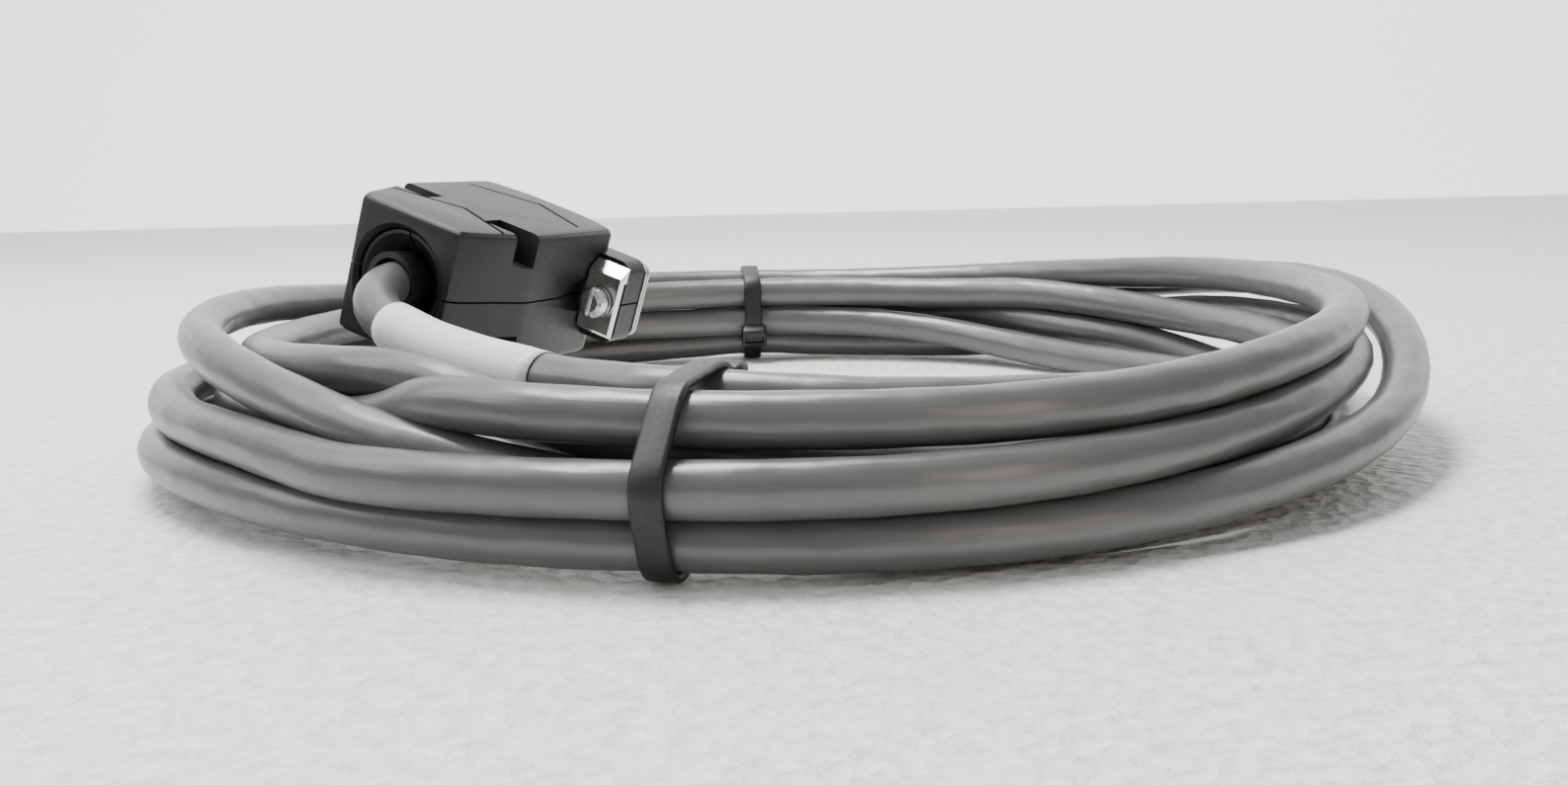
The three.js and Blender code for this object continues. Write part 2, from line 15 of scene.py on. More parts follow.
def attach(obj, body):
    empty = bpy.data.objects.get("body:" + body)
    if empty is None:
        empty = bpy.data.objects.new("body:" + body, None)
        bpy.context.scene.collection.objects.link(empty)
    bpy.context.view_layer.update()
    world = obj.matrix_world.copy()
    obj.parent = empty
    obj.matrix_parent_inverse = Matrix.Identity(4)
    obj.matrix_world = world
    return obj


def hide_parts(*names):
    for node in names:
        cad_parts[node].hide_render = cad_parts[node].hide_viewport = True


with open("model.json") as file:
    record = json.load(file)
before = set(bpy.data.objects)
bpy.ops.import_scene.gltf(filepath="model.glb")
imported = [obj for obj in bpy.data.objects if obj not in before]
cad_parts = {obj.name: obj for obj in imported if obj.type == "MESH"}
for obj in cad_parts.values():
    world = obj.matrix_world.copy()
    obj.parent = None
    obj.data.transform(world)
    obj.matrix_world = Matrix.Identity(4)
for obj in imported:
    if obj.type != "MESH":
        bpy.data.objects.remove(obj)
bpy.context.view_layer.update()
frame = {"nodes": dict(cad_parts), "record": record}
NODES = frame["nodes"]

# ---------------------------------------------------------------- camera
COIL_CENTRE_Y = -15.3  # mm
PHOTO_WIDTH = 1587
FOCAL_PIXELS = 1438
SENSOR_WIDTH = 36.0
CAMERA_MM = (-0.8, -238.5, 42.8)  # about the coil's centre
CAMERA_PITCH = 8.87  # degrees down
CAMERA_ROLL = 1.4  # degrees, right side up


def make_camera():
    data = bpy.data.cameras.new("camera")
    camera = bpy.data.objects.new("camera", data)
    bpy.context.scene.collection.objects.link(camera)
    pitch, roll = math.radians(CAMERA_PITCH), math.radians(CAMERA_ROLL)
    ahead = Vector((0, math.cos(pitch), -math.sin(pitch)))
    level_up = Vector((0, math.sin(pitch), math.cos(pitch)))
    level_right = Vector((1, 0, 0))
    up = level_up * math.cos(roll) + level_right * math.sin(roll)
    right = level_right * math.cos(roll) - level_up * math.sin(roll)
    turn = Matrix((right, up, -ahead)).transposed().to_4x4()
    place = Vector(CAMERA_MM) + Vector((0, COIL_CENTRE_Y, 0))
    camera.matrix_world = Matrix.Translation(place * 0.001) @ turn
    data.sensor_fit = "HORIZONTAL"
    data.sensor_width = SENSOR_WIDTH
    data.lens = SENSOR_WIDTH * FOCAL_PIXELS / PHOTO_WIDTH
    data.clip_start = 0.01
    data.clip_end = 50
    bpy.context.scene.camera = camera


make_camera()

# ---------------------------------------------------------------- route of the cable
# Everything up to in_frame is in mm about the coil's centre.
CABLE_RADIUS = 3.2
TAIL_A = [
    (-55.2, -25.3, 28.2), (-57.4, -29.8, 28.2), (-58.5, -33.2, 27.9), (-58.7, -35.6, 27.1),
    (-58.4, -38.2, 26.2), (-57.5, -40.9, 25.2), (-56.0, -43.5, 24.2), (-53.8, -46.0, 23.2),
    (-51.0, -48.7, 22.2), (-47.4, -52.2, 21.1), (-42.8, -56.4, 20.1), (-36.4, -61.8, 19.1),
    (-29.0, -67.7, 18.3),
]
TAIL_B = [
    (18.0, 98.5, 6.4), (4.0, 102.5, 4.6), (-10.0, 106.0, 5.0), (-22.0, 108.6, 7.4), (-34.0, 109.9, 9.9),
    (-44.0, 110.0, 10.8), (-49.0, 110.0, 10.8),
]
# One list of (angle, radius, height) for each turn, anticlockwise from the front tie.
# The last one is half a turn.
TURNS = [
    [(-106, 76.3, 17.9), (-99, 78.6, 17.9), (-92, 80, 17.4), (-82, 80.8, 16.5), (-70, 81.2, 15.6),
     (-55, 81.4, 14.2), (-38, 81.4, 13.0), (-20, 82.0, 12.4), (0, 84.5, 12.2), (15, 86.5, 12.2),
     (27, 87.4, 12.5), (34, 87.4, 13.3), (42, 87, 14.1), (50, 87, 14.5), (70, 87, 15.2),
     (85, 86.5, 15.4), (95, 86.5, 15.5), (105, 87, 15.6), (120, 86.5, 15.8), (140, 85, 16.2),
     (160, 84, 16.5), (180, 83.5, 16.7), (206, 84, 17.6), (221, 84.4, 18.9), (232, 84.5, 19.2),
     (240, 84.3, 17.8), (248, 84.3, 15.2), (255, 84.5, 13.2)],
    [(-97, 84.7, 11.9), (-90, 85.0, 10.8), (-80, 85.6, 9.5), (-60, 86, 8.0), (-30, 84, 6.0),
     (0, 81, 4.4), (20, 78, 3.5), (34, 76.5, 3.2), (44, 78, 3.3), (56, 81, 4.8), (63, 83, 6.4),
     (73, 84.5, 7.9), (85, 85.7, 9.0), (95, 86.2, 9.2), (120, 87, 9.5), (150, 87.5, 10),
     (180, 87.5, 10.6), (205, 87, 11.6), (224, 86.2, 13.4), (234, 86.8, 15.2), (240, 87.4, 16.0),
     (247, 88.6, 16.9), (253, 89.4, 17.2)],
    [(-101, 90, 16.8), (-95, 90, 16.3), (-84, 90, 16.2), (-69, 90, 16.5), (-60, 89.5, 16.9),
     (-52, 89, 17.5), (-44, 88.4, 18.2), (-33, 87.7, 19.4), (-22, 87.4, 20.2), (-8, 88, 20.9),
     (5, 89.2, 21.3), (18, 90.3, 21.4), (30, 91, 21.0), (42, 91.5, 19.9), (52, 91.6, 18.6),
     (66, 91.7, 17.2), (80, 92, 16.9), (95, 92, 16.9), (120, 92, 17.8), (145, 92, 19.6), (160, 92, 20.7),
     (170, 91.6, 21.6), (185, 91.4, 22.0), (198, 91.2, 21.7), (210, 91.5, 21.0), (216, 92, 20.2),
     (222, 92, 19.0), (229, 92, 17.2), (234, 91.4, 15.6), (240, 90.4, 13.9), (246, 89.2, 11.8),
     (252, 88.2, 9.4), (258, 87.6, 7.6)],
    [(-95, 87.4, 5.6), (-88, 87.2, 4.3), (-78, 87.4, 3.5), (-45, 87, 3.3), (0, 88, 3.3), (18, 87.8, 3.4),
     (26, 87.4, 5.0), (33, 87.5, 7.6), (40, 88, 8.6), (50, 89.2, 8.6), (59, 91, 8.7), (68, 92.6, 9),
     (82, 93.4, 9.4), (95, 93.6, 9.6), (120, 94, 9.7), (150, 94.6, 10.2), (180, 95.6, 11.6),
     (203, 96.4, 12.3), (212, 95.9, 11.8), (219, 95.2, 11.3), (226, 94.6, 10.6), (231, 94.4, 9.8),
     (236, 94.4, 9.4), (245, 94.6, 9.0)],
    [(-106, 95, 9.2), (-97, 95.4, 9.8), (-84, 95.2, 10.1), (-71, 94, 10.5), (-60, 92, 11.1),
     (-50, 90, 12.2), (-40, 88.6, 13.2), (-30, 88.0, 13.8), (-18, 88.4, 14.2), (-5, 90, 14.2),
     (8, 92.5, 14.0), (21, 93.6, 13.6), (30, 94, 13.0), (39, 93.5, 11.8), (47, 92.5, 8.8), (55, 91, 5.8),
     (62, 90, 3.8), (72, 89.5, 3.3), (95, 89.6, 3.3), (120, 92, 3.3), (150, 95.4, 3.5), (180, 97.6, 4.8),
     (205, 98, 5.8), (221, 96.8, 6.0), (233, 95.4, 5.6), (244, 94.4, 5.0)],
    [(-110, 94, 4.8), (-100, 93.6, 4.5), (-90, 93.4, 4.2), (-71, 93.8, 4.0), (-60, 94.6, 5.0),
     (-53, 95.4, 6.1), (-41, 96, 8.2), (-30, 95.8, 9.6), (-22, 96, 12.0), (-15, 96.4, 15.0),
     (-7, 97, 17.4), (1, 97.4, 19.3), (9, 97.8, 20.6), (20, 98.2, 20.6), (32, 98.2, 19.6),
     (42, 98.2, 17.6), (52, 98.4, 14.6), (62, 98.8, 11.4), (72, 99.4, 8.4)],
]
MOBILITY = (0.6, 1.0, 0.3, 1.0, 0.3, 0.25)  # how far each turn may give way to its neighbours
TIE_ANGLES = {"front": -97.7, "back": 95.1}
STATION_STEP = 3.0  # degrees
CLEARANCE = 6.45  # between the centrelines of strands that lie on each other
STRAP_THICKNESS = 1.1
STRAP_LIFT_SPREAD = 8  # degrees along the coil over which a strap lifts it off the floor
FLOOR_GAP = 0.05
TURN_STARTS_AT = -97  # degrees, where one turn ends and the next begins
GIVE_BLUR = 4  # stations each side over which one turn's mobility passes into the next one's
SETTLING_ROUNDS = 400
PUSH_SHARE = 0.45  # of an overlap, taken out in one round
PULL_BACK = 0.03  # of the way back to the wanted route, in one round
STATION_SMOOTHING = 0.12
WOBBLE = 0.35
FINE_PER_STEP = 4
PATH_STEP = 2.0
PATH_SMOOTHINGS = 6


def hermite(xs, ys, at):
    """A smooth curve through the stations, sloping as their neighbours do."""
    slope = np.gradient(ys, xs)
    k = np.clip(np.searchsorted(xs, at) - 1, 0, len(xs) - 2)
    h = xs[k + 1] - xs[k]
    t = np.clip((at - xs[k]) / h, 0, 1)
    first = 2 * t**3 - 3 * t**2 + 1
    leaving = (t**3 - 2 * t**2 + t) * h * slope[k]
    arriving = (t**3 - t**2) * h * slope[k + 1]
    return first * ys[k] + (1 - first) * ys[k + 1] + leaving + arriving


def settle(at, r, z):
    """Pushes strands that lie in each other a diameter apart, and keeps them on the floor."""
    wanted_r, wanted_z = r.copy(), z.copy()
    turn = np.clip(((at - TURN_STARTS_AT) // 360).astype(int), 0, len(MOBILITY) - 1)
    blur = np.ones(2 * GIVE_BLUR + 1) / (2 * GIVE_BLUR + 1)
    give = np.convolve(np.pad(np.array(MOBILITY)[turn], GIVE_BLUR, mode="edge"), blur, mode="valid")
    floor = np.full(len(at), CABLE_RADIUS + FLOOR_GAP)
    for angle in TIE_ANGLES.values():
        apart = (at - angle + 180) % 360 - 180
        floor += STRAP_THICKNESS * np.exp(-((apart / STRAP_LIFT_SPREAD) ** 2))
    slots = round(360 / STATION_STEP)
    for _ in range(SETTLING_ROUNDS):
        dr, dz = np.zeros(len(at)), np.zeros(len(at))
        for lag in [turns * slots + shift for turns in range(1, len(TURNS) + 1) for shift in (-1, 0, 1)]:
            if lag >= len(at):
                continue
            a, b = np.arange(len(at) - lag), np.arange(lag, len(at))
            vr, vz = r[b] - r[a], z[b] - z[a]
            shift = lag - slots * round(lag / slots)
            along = math.radians(STATION_STEP * shift) * r[a]
            cross = np.hypot(vr, vz) + 1e-9
            need = np.sqrt(CLEARANCE**2 - along**2)
            push = np.maximum(need - cross, 0) * PUSH_SHARE / (give[a] + give[b])
            for change, part in ((dr, vr / cross), (dz, vz / cross)):
                change[a] -= push * give[a] * part
                change[b] += push * give[b] * part
        r = r + dr + PULL_BACK * (wanted_r - r)
        z = z + dz + PULL_BACK * (wanted_z - z)
        for v in (r, z):
            v[1:-1] += STATION_SMOOTHING * (v[:-2] + v[2:] - 2 * v[1:-1])
        z = np.maximum(z, floor)
    return r, z


def coil_points():
    """The coil's centreline: the stations joined up, made a little uneven and settled."""
    rows = [(360 * turn + angle, r, z) for turn, row in enumerate(TURNS) for angle, r, z in row]
    xs, rs, zs = (np.array(v, float) for v in zip(*rows))
    at = np.arange(math.ceil(xs[0] / STATION_STEP) * STATION_STEP, xs[-1] + 0.01, STATION_STEP)
    r, z = hermite(xs, rs, at), hermite(xs, zs, at)
    z += WOBBLE * np.sin(np.radians(at * 7.3)) * np.sin(np.radians(at * 2.1 + 40))
    r += WOBBLE * np.sin(np.radians(at * 6.1 + 70)) * np.cos(np.radians(at * 1.7))
    r, z = settle(at, r, z)
    turned = np.radians(at)
    return np.stack([r * np.cos(turned), r * np.sin(turned), z], 1)


def even_points(points, step):
    """Points a set distance apart on a smooth curve through the given ones."""
    run = np.concatenate([[0], np.cumsum(np.linalg.norm(np.diff(points, axis=0), axis=1))])
    fine_at = np.linspace(0, run[-1], int(run[-1] / step * FINE_PER_STEP))
    fine = np.stack([hermite(run, points[:, i], fine_at) for i in range(3)], 1)
    fine_run = np.concatenate([[0], np.cumsum(np.linalg.norm(np.diff(fine, axis=0), axis=1))])
    even = np.linspace(0, fine_run[-1], round(fine_run[-1] / step) + 1)
    return np.stack([np.interp(even, fine_run, fine[:, i]) for i in range(3)], 1), fine_run[-1]


PATH_MM, CABLE_LENGTH_MM = even_points(np.concatenate([TAIL_A, coil_points(), TAIL_B]), PATH_STEP)
# a light smoothing takes out the corners where the tails meet the coil
for _ in range(PATH_SMOOTHINGS):
    PATH_MM[1:-1] += 0.25 * (PATH_MM[:-2] + PATH_MM[2:] - 2 * PATH_MM[1:-1])
TO_FRAME = np.array([0, COIL_CENTRE_Y, 0])


def in_frame(points):
    """Points about the coil's centre in mm, as points in the part's frame in metres."""
    return (np.asarray(points, float) + TO_FRAME) * 0.001


# ---------------------------------------------------------------- material tools
class Shader:
    """A node material being put together, with one call for each node."""

    def __init__(self, name):
        self.material = bpy.data.materials.new(name)
        self.material.use_nodes = True
        self.tree = self.material.node_tree
        self.bsdf = self.tree.nodes["Principled BSDF"]

    def node(self, kind, inputs=None, **settings):
        made = self.tree.nodes.new(kind)
        for key, value in settings.items():
            setattr(made, key, value)
        for key, value in (inputs or {}).items():
            self.set(made, key, value)
        return made

    def set(self, node, key, value):
        if isinstance(value, bpy.types.NodeSocket):
            self.tree.links.new(value, node.inputs[key])
        else:
            node.inputs[key].default_value = value

    def coords(self, scale=(1, 1, 1), source="Object"):
        made = self.node("ShaderNodeTexCoord")
        mapped = self.node("ShaderNodeMapping", {"Vector": made.outputs[source], "Scale": scale})
        return mapped.outputs["Vector"]

    def noise(self, vector, scale, detail=3.0, roughness=0.5):
        made = self.node("ShaderNodeTexNoise",
                         {"Vector": vector, "Scale": scale, "Detail": detail, "Roughness": roughness})
        return made.outputs["Fac"]

    def span(self, value, low, high, from_low=0.3, from_high=0.7):
        made = self.node("ShaderNodeMapRange", {"Value": value, "From Min": from_low, "From Max": from_high,
                                                "To Min": low, "To Max": high})
        return made.outputs["Result"]

    def between(self, factor, a, b):
        made = self.node("ShaderNodeMix", data_type="RGBA")
        self.set(made, "Factor", factor)
        made.inputs[6].default_value = (*a, 1)
        made.inputs[7].default_value = (*b, 1)
        return made.outputs[2]

    def bump(self, height, distance, strength=1.0, under=None):
        made = self.node("ShaderNodeBump", {"Height": height, "Distance": distance, "Strength": strength})
        if under is not None:
            self.set(made, "Normal", under)
        return made.outputs["Normal"]

    def finish(self, **values):
        for key, value in values.items():
            self.set(self.bsdf, key.replace("_", " "), value)
        return self.material


def jacket_material():
    """Satin grey PVC: faint lengthwise streaks, a leathery fine grain and slow unevenness."""
    s = Shader("jacket_pvc")
    lengthwise = s.coords((1, 1, 1), "UV")
    stretched = s.node("ShaderNodeMapping", {"Vector": lengthwise, "Scale": (9.0, 5.0, 1.0)})
    streak = s.noise(stretched.outputs["Vector"], 3.0, 4.0)
    slow = s.noise(s.coords(), 22.0, 2.0)
    grain = s.noise(s.coords(), 2600.0, 3.0)
    colour = s.between(s.span(slow, 0, 1), (0.074, 0.073, 0.071), (0.097, 0.095, 0.092))
    soft = s.bump(s.noise(s.coords(), 90.0, 2.0), 0.0009, 0.5)
    lined = s.bump(streak, 0.0002, 0.35, soft)
    return s.finish(Base_Color=colour, Roughness=s.span(streak, 0.29, 0.38),
                    Normal=s.bump(grain, 0.00003, 0.5, lined), IOR=1.54, Specular_IOR_Level=0.7)


def sleeve_material():
    """Off-white satin shrink tube with a faint lengthwise flow line."""
    s = Shader("sleeve_shrink")
    lines = s.node("ShaderNodeMapping", {"Vector": s.coords((1, 1, 1), "UV"), "Scale": (6.0, 30.0, 1.0)})
    streak = s.noise(lines.outputs["Vector"], 2.0, 3.0)
    colour = s.between(s.span(streak, 0, 1), (0.66, 0.68, 0.69), (0.76, 0.78, 0.78))
    grain = s.bump(s.noise(s.coords(), 900.0, 3.0), 0.00006, 0.5, s.bump(streak, 0.0003, 0.3))
    return s.finish(Base_Color=colour, Roughness=s.span(streak, 0.32, 0.45), Normal=grain,
                    Subsurface_Weight=0.08, Subsurface_Radius=(0.002, 0.002, 0.002))


def moulded_material(name, dark, light, rough, grain_size, grain_depth):
    """Black moulded plastic with a fine even grain."""
    s = Shader(name)
    grain = s.noise(s.coords(), grain_size, 4.0, 0.6)
    cloud = s.noise(s.coords(), 60.0, 3.0)
    colour = s.between(s.span(cloud, 0, 1), dark, light)
    return s.finish(Base_Color=colour, Roughness=s.span(grain, rough - 0.06, rough + 0.06, 0.35, 0.65),
                    Normal=s.bump(grain, grain_depth, 0.6), IOR=1.5)


def metal_material(name, dark, light, rough, brushed=(1, 1, 1), scratch=0.00002):
    """Plated metal with slight patchiness and fine rolling marks."""
    s = Shader(name)
    marks = s.noise(s.coords(brushed), 900.0, 3.0)
    patches = s.noise(s.coords(), 240.0, 3.0)
    colour = s.between(s.span(patches, 0, 1), dark, light)
    return s.finish(Base_Color=colour, Metallic=1.0, Roughness=s.span(patches, rough - 0.05, rough + 0.07),
                    Normal=s.bump(marks, scratch, 0.5))


JACKET = jacket_material()
SLEEVE = sleeve_material()
HOOD = moulded_material("hood_plastic", (0.0055, 0.005, 0.005), (0.009, 0.0083, 0.008),
                        0.46, 2400.0, 0.00005)
NYLON = moulded_material("nylon_black", (0.0025, 0.0025, 0.0025), (0.0045, 0.0045, 0.0045),
                         0.48, 1500.0, 0.00003)
INSULATOR = moulded_material("insulator_plastic", (0.010, 0.010, 0.011), (0.018, 0.018, 0.019),
                             0.5, 1800.0, 0.00003)
CORE = moulded_material("core_bundle", (0.55, 0.56, 0.57), (0.72, 0.73, 0.74), 0.5, 800.0, 0.00004)
CLIP = metal_material("clip_nickel", (0.62, 0.61, 0.58), (0.78, 0.77, 0.74), 0.22)
SCREW = metal_material("screw_zinc", (0.60, 0.61, 0.62), (0.78, 0.79, 0.80), 0.25)
TIN = metal_material("shell_tin", (0.52, 0.52, 0.51), (0.66, 0.66, 0.65), 0.34)
GOLD = metal_material("contact_gold", (0.80, 0.56, 0.22), (0.92, 0.68, 0.30), 0.24)
BRASS = metal_material("brass", (0.62, 0.45, 0.20), (0.75, 0.56, 0.28), 0.32)

BY_PREFIX = [
    ("hood_", HOOD), ("cable_bushing", HOOD), ("clamp_", HOOD), ("shield_collar", BRASS),
    ("core_bundle", CORE), ("screw_clip", CLIP), ("lock_washer", SCREW), ("jackscrew", SCREW),
    ("shell_", TIN), ("insulator_", INSULATOR), ("contact_", GOLD), ("cable_tie", NYLON),
    ("marker_sleeve", SLEEVE), ("cable_", JACKET),
]


def dress_nodes():
    """Gives every CAD node the material its name calls for."""
    for name, node in NODES.items():
        material = next(m for prefix, m in BY_PREFIX if name.startswith(prefix))
        node.data.materials.clear()
        node.data.materials.append(material)


# ---------------------------------------------------------------- mesh tools
def mesh_object(name, verts, faces, material, uvs=None, smooth=True):
    mesh = bpy.data.meshes.new(name)
    mesh.from_pydata([tuple(v) for v in verts], [], faces)
    mesh.materials.append(material)
    if uvs is not None:
        layer = mesh.uv_layers.new(name="UVMap")
        flat = np.array([uv for face in uvs for uv in face], np.float32)
        layer.data.foreach_set("uv", flat.ravel())
    mesh.polygons.foreach_set("use_smooth", [smooth] * len(mesh.polygons))
    mesh.update()
    made = bpy.data.objects.new(name, mesh)
    bpy.context.scene.collection.objects.link(made)
    return made


def carried_frames(path):
    """Two axes square to the path at each of its points, carried along without twist."""
    ahead = np.gradient(path, axis=0)
    ahead /= np.linalg.norm(ahead, axis=1)[:, None]
    side = np.cross(ahead[0], (0, 0, 1))
    sides = []
    for t in ahead:
        side = side - t * (side @ t)
        side = side / np.linalg.norm(side)
        sides.append(side)
    sides = np.array(sides)
    return ahead, sides, np.cross(ahead, sides)


def tube_mesh(name, path, radii, material):
    """A solid rod along the path. radii is a table of radii by point and side."""
    sides = radii.shape[1]
    _, u, w = carried_frames(path)
    turn = np.linspace(0, 2 * math.pi, sides, endpoint=False)
    ring = u[:, None] * np.cos(turn)[None, :, None] + w[:, None] * np.sin(turn)[None, :, None]
    verts = (path[:, None] + ring * radii[:, :, None]).reshape(-1, 3)
    run = np.concatenate([[0], np.cumsum(np.linalg.norm(np.diff(path, axis=0), axis=1))])
    faces, uvs = [], []
    for i in range(len(path) - 1):
        for j in range(sides):
            k = (j + 1) % sides
            faces.append((i * sides + j, (i + 1) * sides + j, (i + 1) * sides + k, i * sides + k))
            v0, v1 = j / sides, (j + 1) / sides
            uvs.append(((run[i], v0), (run[i + 1], v0), (run[i + 1], v1), (run[i], v1)))
    last = (len(path) - 1) * sides
    faces.append(tuple(range(sides)))
    faces.append(tuple(last + j for j in reversed(range(sides))))
    uvs.extend([[(0, 0)] * sides, [(run[-1], 0)] * sides])
    return mesh_object(name, verts, faces, material, uvs)


def outward(obj):
    """Turns every face of the piece outwards."""
    bm = bmesh.new()
    bm.from_mesh(obj.data)
    bmesh.ops.recalc_face_normals(bm, faces=bm.faces)
    bm.to_mesh(obj.data)
    bm.free()
    return obj


# ---------------------------------------------------------------- the cable
CABLE_SIDES = 28
LAY_PITCH = 62.0  # mm, the twist of the cores that shows faintly through the jacket
CORE_COUNT = 5
CORE_RELIEF = 0.035  # mm
SWELL = 0.05  # mm
OVALITY = 0.045  # mm
JACKET_INSET = 0.02  # mm, so that the uneven jacket keeps the cable's thickness


def cable():
    """The jacket over the whole route, a little uneven where the cores and the bends press it."""
    count = len(PATH_MM)
    along = np.arange(count) * PATH_STEP
    turn = np.linspace(0, 2 * math.pi, CABLE_SIDES, endpoint=False)
    cores = CORE_RELIEF * np.cos(CORE_COUNT * (turn[None] - 2 * math.pi * along[:, None] / LAY_PITCH))
    swell = SWELL * np.sin(along / 23.0) * np.sin(along / 7.9 + 1.3)
    flat = OVALITY * np.cos(2 * (turn[None] - along[:, None] / 71.0))
    radii = (CABLE_RADIUS - JACKET_INSET + cores + swell[:, None] + flat) * 0.001
    made = outward(tube_mesh("cable_jacket", in_frame(PATH_MM), radii, JACKET))
    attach(made, "root")
    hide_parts("cable_coil", "cable_tail_a", "cable_tail_b")
    return made


jacket = cable()


# ---------------------------------------------------------------- the marker sleeve, mm
SLEEVE_ENDS = ((-53.4, -46.4, 23.0), (-29.4, -67.4, 18.3))
SLEEVE_RADIUS = 3.62
SLEEVE_INNER = 3.3
SLEEVE_SIDES = 36
SLEEVE_LINE_AT = 2.6  # radians round the cable
SLEEVE_LINE_WIDTH = 0.13  # radians
SLEEVE_LINE_DEPTH = 0.11
SLEEVE_RIPPLE = 0.03


def nearest_step(point):
    """Index of the path's point nearest to a given one."""
    return int(np.argmin(np.linalg.norm(PATH_MM - np.array(point), axis=1)))


def sleeve():
    """Shrink tube over the cable where it leaves hood A, with a faint flow line along it."""
    start, stop = (nearest_step(point) for point in SLEEVE_ENDS)
    path = PATH_MM[start : stop + 1]
    shape = np.linspace(0, 1, len(path))
    turn = np.linspace(0, 2 * math.pi, SLEEVE_SIDES, endpoint=False)
    line = SLEEVE_LINE_DEPTH * np.exp(-(((turn - SLEEVE_LINE_AT) / SLEEVE_LINE_WIDTH) ** 2))
    pinch = 0.12 * np.exp(-((shape * len(path) / 1.2) ** 2))
    pinch += 0.18 * np.exp(-(((1 - shape) * len(path) / 1.5) ** 2))
    ripple = SLEEVE_RIPPLE * np.sin(shape * 17.0)
    outer = SLEEVE_RADIUS - line[None] - pinch[:, None] + ripple[:, None]
    wall = np.concatenate([outer, np.full((len(path), SLEEVE_SIDES), SLEEVE_INNER)[::-1]])
    folded = np.concatenate([path, path[::-1]])
    _, u, w = carried_frames(in_frame(path))
    u, w = np.concatenate([u, u[::-1]]), np.concatenate([w, w[::-1]])
    ring = u[:, None] * np.cos(turn)[None, :, None] + w[:, None] * np.sin(turn)[None, :, None]
    verts = (in_frame(folded)[:, None] + ring * wall[:, :, None] * 0.001).reshape(-1, 3)
    count = len(folded)
    faces, uvs = [], []
    for i in range(count):
        after = (i + 1) % count
        for j in range(SLEEVE_SIDES):
            k = (j + 1) % SLEEVE_SIDES
            row = (i * SLEEVE_SIDES, after * SLEEVE_SIDES)
            faces.append((row[0] + j, row[1] + j, row[1] + k, row[0] + k))
            x0, x1 = i * PATH_STEP / 1000, (i + 1) * PATH_STEP / 1000
            uvs.append(((x0, j / SLEEVE_SIDES), (x1, j / SLEEVE_SIDES), (x1, (j + 1) / SLEEVE_SIDES),
                        (x0, (j + 1) / SLEEVE_SIDES)))
    made = outward(mesh_object("marker_sleeve_tube", verts, faces, SLEEVE, uvs))
    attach(made, "root")
    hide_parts("marker_sleeve")
    return made


sleeve()


# ---------------------------------------------------------------- cable ties, mm
TIED_RADIUS = 87.3
TIE_REACH = 20  # each side of the bundle's middle
STRAND_POINTS = 32
STRAP_GAP = 0.06
STRAP_POINTS = 96
STRAP_SMOOTHINGS = 3
STRAP_WIDTH = 3.8
STRAP_SOFT_EDGE = 0.4
OUTLINE_STEPS = 5
# Width, depth, corner radius and height of each outline of the head, up its outside and down into its slot.
HEAD_OUTLINES = (
    (5.0, 4.0, 0.7, 0.0), (5.6, 4.7, 0.9, 0.5), (5.6, 4.7, 0.9, 2.5), (5.0, 4.1, 0.8, 3.0),
    (4.1, 1.8, 0.25, 3.0), (3.9, 1.6, 0.2, 1.7), (3.7, 1.25, 0.2, 1.7), (3.7, 1.25, 0.2, 2.7),
)


def crossings(centre, along, across):
    """Where the strands cross a tie's plane, as (outward, height) in mm from the tie's centre."""
    flat = PATH_MM[:, :2] - centre
    ahead, out = flat @ along, flat @ across
    found = []
    for i in np.nonzero(ahead[:-1] * ahead[1:] <= 0)[0]:
        share = ahead[i] / (ahead[i] - ahead[i + 1])
        spot = out[i] + share * (out[i + 1] - out[i])
        if abs(spot) < TIE_REACH:
            found.append((spot, PATH_MM[i, 2] + share * (PATH_MM[i + 1, 2] - PATH_MM[i, 2])))
    return np.array(found)


def hull(points):
    """Convex outline of flat points, anticlockwise."""
    ordered = sorted(map(tuple, points))

    def turns_left(a, b, c):
        return (b[0] - a[0]) * (c[1] - b[1]) - (b[1] - a[1]) * (c[0] - b[0]) > 0

    def half(run):
        kept = []
        for p in run:
            while len(kept) > 1 and not turns_left(kept[-2], kept[-1], p):
                kept.pop()
            kept.append(p)
        return kept[:-1]

    return np.array(half(ordered) + half(ordered[::-1]))


def even_loop(points, count):
    """Points evenly spaced round a closed outline."""
    closed = np.vstack([points, points[:1]])
    run = np.concatenate([[0], np.cumsum(np.linalg.norm(np.diff(closed, axis=0), axis=1))])
    at = np.linspace(0, run[-1], count, endpoint=False)
    return np.stack([np.interp(at, run, closed[:, i]) for i in range(2)], 1)


